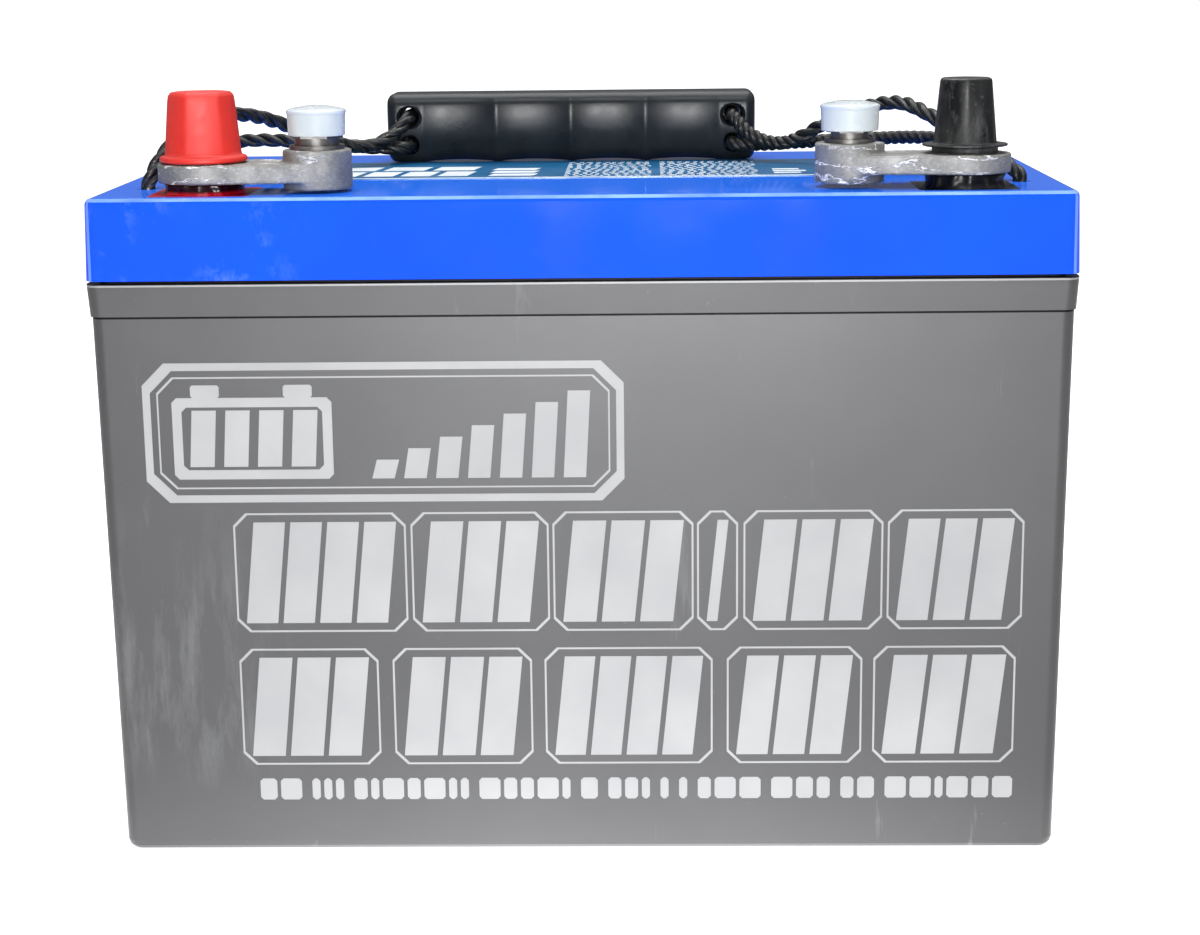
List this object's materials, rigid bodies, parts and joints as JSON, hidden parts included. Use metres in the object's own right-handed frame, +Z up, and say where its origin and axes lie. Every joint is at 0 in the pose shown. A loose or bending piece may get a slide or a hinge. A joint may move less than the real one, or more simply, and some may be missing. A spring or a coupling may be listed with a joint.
{
  "type": "deep cycle battery",
  "caption": "Sealed lead-acid battery in a tapered plastic case, with post and stud terminals, pull-off caps and a rope carrying handle.",
  "frame": {"origin": "centre of the base, on the surface that the battery stands on", "axes": "+X along the lid's length to the negative terminal, +Y to the back, +Z up"},
  "size_m": [0.306, 0.169, 0.2453],
  "materials": {
    "case_plastic": "satin",
    "lid_plastic": "gloss",
    "label_film": "satin",
    "label_print": "matte",
    "valve_rubber": "matte",
    "lead": "satin",
    "steel": "satin",
    "red_epoxy": "gloss",
    "black_epoxy": "gloss",
    "clear_vinyl": "gloss",
    "red_vinyl": "satin",
    "black_vinyl": "satin",
    "grip_rubber": "satin",
    "rope_fibre": "satin",
    "positive_paste": "matte",
    "negative_paste": "matte",
    "glass_mat": "matte"
  },
  "bodies": {
    "battery": {"case": "case_plastic", "lid": "lid_plastic", "vent_cover": "lid_plastic", "vent_valves": "valve_rubber", "top_label": "label_film", "positive_bushing": "lead", "positive_riser": "lead", "positive_seal": "red_epoxy", "positive_lug": "lead", "positive_stud": "steel", "positive_flat_washer": "steel", "positive_lock_washer": "steel", "negative_bushing": "lead", "negative_riser": "lead", "negative_seal": "black_epoxy", "negative_lug": "lead", "negative_stud": "steel", "negative_flat_washer": "steel", "negative_lock_washer": "steel", "rope_left": "rope_fibre", "rope_right": "rope_fibre", "positive_straps": "lead", "negative_straps": "lead", "intercell_welds": "lead", "positive_plates_1": "positive_paste", "negative_plates_1": "negative_paste", "separators_1": "glass_mat", "positive_plates_2": "positive_paste", "negative_plates_2": "negative_paste", "separators_2": "glass_mat", "positive_plates_3": "positive_paste", "negative_plates_3": "negative_paste", "separators_3": "glass_mat", "positive_plates_4": "positive_paste", "negative_plates_4": "negative_paste", "separators_4": "glass_mat", "positive_plates_5": "positive_paste", "negative_plates_5": "negative_paste", "separators_5": "glass_mat", "positive_plates_6": "positive_paste", "negative_plates_6": "negative_paste", "separators_6": "glass_mat"},
    "positive_post_cap": {"positive_post_cap": "red_vinyl"},
    "negative_post_cap": {"negative_post_cap": "black_vinyl"},
    "positive_nut": {"positive_nut": "steel"},
    "negative_nut": {"negative_nut": "steel"},
    "positive_nut_cap": {"positive_nut_cap": "clear_vinyl"},
    "negative_nut_cap": {"negative_nut_cap": "clear_vinyl"},
    "handle": {"handle_grip": "grip_rubber", "rope_knot_left": "rope_fibre", "rope_knot_right": "rope_fibre"}
  },
  "joints": [
    {"name": "positive_post_cap_pull", "type": "slide", "parent": "battery", "child": "positive_post_cap", "axis": [0, 0, 1], "range_m": [0, 0.03]},
    {"name": "positive_nut_spin", "type": "hinge", "parent": "battery", "child": "positive_nut", "pos_m": [-0.0826, -0.062, 0.232], "axis": [0, 0, 1], "continuous": true},
    {"name": "positive_nut_cap_pull", "type": "slide", "parent": "positive_nut", "child": "positive_nut_cap", "axis": [0, 0, 1], "range_m": [0, 0.015]},
    {"name": "negative_post_cap_pull", "type": "slide", "parent": "battery", "child": "negative_post_cap", "axis": [0, 0, 1], "range_m": [0, 0.03]},
    {"name": "negative_nut_spin", "type": "hinge", "parent": "battery", "child": "negative_nut", "pos_m": [0.0838, -0.062, 0.232], "axis": [0, 0, 1], "continuous": true},
    {"name": "negative_nut_cap_pull", "type": "slide", "parent": "negative_nut", "child": "negative_nut_cap", "axis": [0, 0, 1], "range_m": [0, 0.015]},
    {"name": "handle_swing", "type": "hinge", "parent": "battery", "child": "handle", "pos_m": [0, 0.001, 0.2235], "axis": [1, 0, 0], "range_deg": [0, 90], "deforming": ["rope_left", "rope_right"]}
  ]
}
